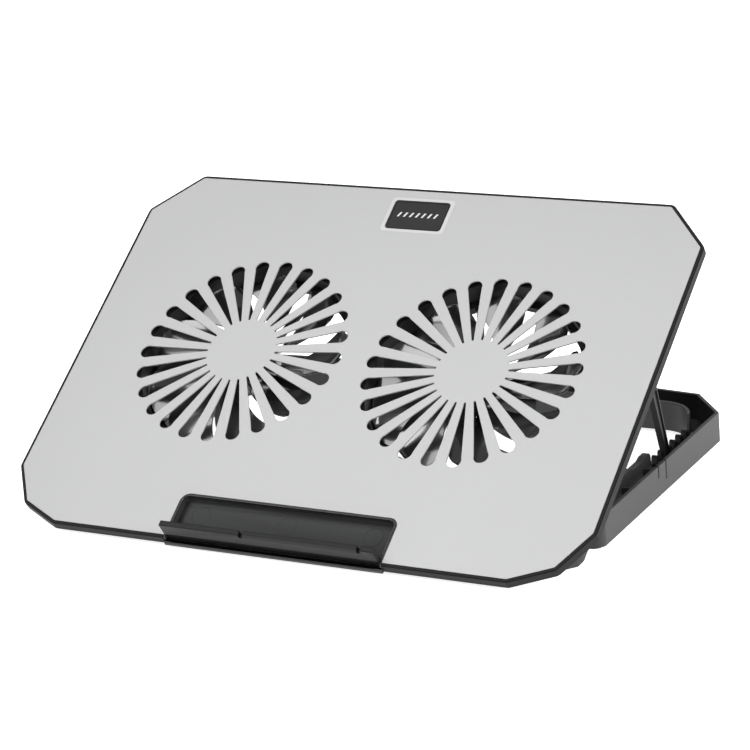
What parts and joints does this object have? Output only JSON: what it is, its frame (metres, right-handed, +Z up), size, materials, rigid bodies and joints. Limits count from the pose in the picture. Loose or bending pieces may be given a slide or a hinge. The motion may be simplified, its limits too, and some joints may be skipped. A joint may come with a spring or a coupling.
{
  "type": "laptop cooling pad",
  "caption": "Two-fan laptop cooling pad with a slotted metal deck, a fold-down laptop stop and a hinged U-shaped base with two prop legs and toothed racks.",
  "frame": {"origin": "middle of the part's footprint on the table, at table height", "axes": "+X to the user's right across the deck, +Y away from the user, +Z up"},
  "size_m": [0.3582, 0.2674, 0.1481],
  "materials": {
    "panel": "fine silver satin paint",
    "shell": "fine-grained black moulding",
    "trim": "smooth black satin",
    "blades": "glossy black",
    "rubber": "matt",
    "steel": "plated",
    "board": "solder-masked board",
    "copper": "enamelled copper windings on a steel core",
    "bronze": "sintered bronze",
    "magnet": "bonded ferrite",
    "lens": "frosted light pipe",
    "lead": "insulated leads"
  },
  "bodies": {
    "base": {"base_frame": "shell", "rubber_feet": "rubber", "hinge_pins": "steel"},
    "deck": {"top_frame": "shell", "metal_panel": "panel", "badge": "trim", "stop_tray": "shell", "flap_pin": "steel", "bottom_shell": "shell", "deck_feet": "rubber", "fan_housing_left": "shell", "fan_housing_right": "shell", "motor_board_left": "board", "motor_board_right": "board", "stator_left": "copper", "stator_right": "copper", "bearing_left": "bronze", "bearing_right": "bronze", "control_board": "board", "usb_port_left": "steel", "usb_port_right": "steel", "dial_switch": "trim", "power_led": "lens", "wires_left": "lead", "wires_right": "lead", "case_screws": "steel", "fan_screws": "steel", "board_screws": "steel", "leg_pins": "steel"},
    "flap": {"stop_flap": "trim"},
    "leg_left_body": {"leg_left": "trim"},
    "leg_right_body": {"leg_right": "trim"},
    "fan_left_body": {"rotor_left": "blades", "magnet_left": "magnet", "shaft_left": "steel"},
    "fan_right_body": {"rotor_right": "blades", "magnet_right": "magnet", "shaft_right": "steel"},
    "dial_body": {"speed_dial": "trim"}
  },
  "joints": [
    {"name": "deck_tilt", "type": "hinge", "parent": "base", "child": "deck", "pos_m": [0, -0.09696, 0.0109], "axis": [1, 0, 0], "range_deg": [-33.7, 0]},
    {"name": "leg_left_swing", "type": "hinge", "parent": "deck", "child": "leg_left_body", "pos_m": [-0.1544, 0.01992, 0.09522], "axis": [1, 0, 0], "range_deg": [-76.25, 0]},
    {"name": "leg_right_swing", "type": "hinge", "parent": "deck", "child": "leg_right_body", "pos_m": [0.1544, 0.01992, 0.09522], "axis": [1, 0, 0], "range_deg": [-76.25, 0]},
    {"name": "flap_fold", "type": "hinge", "parent": "deck", "child": "flap", "pos_m": [0, -0.12386, 0.00654], "axis": [1, 0, 0], "range_deg": [-90, 0]},
    {"name": "fan_left_spin", "type": "hinge", "parent": "deck", "child": "fan_left_body", "pos_m": [-0.0729, -0.01548, 0.07041], "axis": [0, -0.5548, 0.832], "continuous": true},
    {"name": "fan_right_spin", "type": "hinge", "parent": "deck", "child": "fan_right_body", "pos_m": [0.0729, -0.01548, 0.07041], "axis": [0, -0.5548, 0.832], "continuous": true},
    {"name": "speed_turn", "type": "hinge", "parent": "deck", "child": "dial_body", "pos_m": [0.014, 0.0671, 0.12464], "axis": [0, -0.5548, 0.832], "range_deg": [0, 270]}
  ],
  "couplings": [
    {"joint": "leg_left_swing", "follows": "deck_tilt", "ratio": 2.2611},
    {"joint": "leg_right_swing", "follows": "deck_tilt", "ratio": 2.2611}
  ]
}
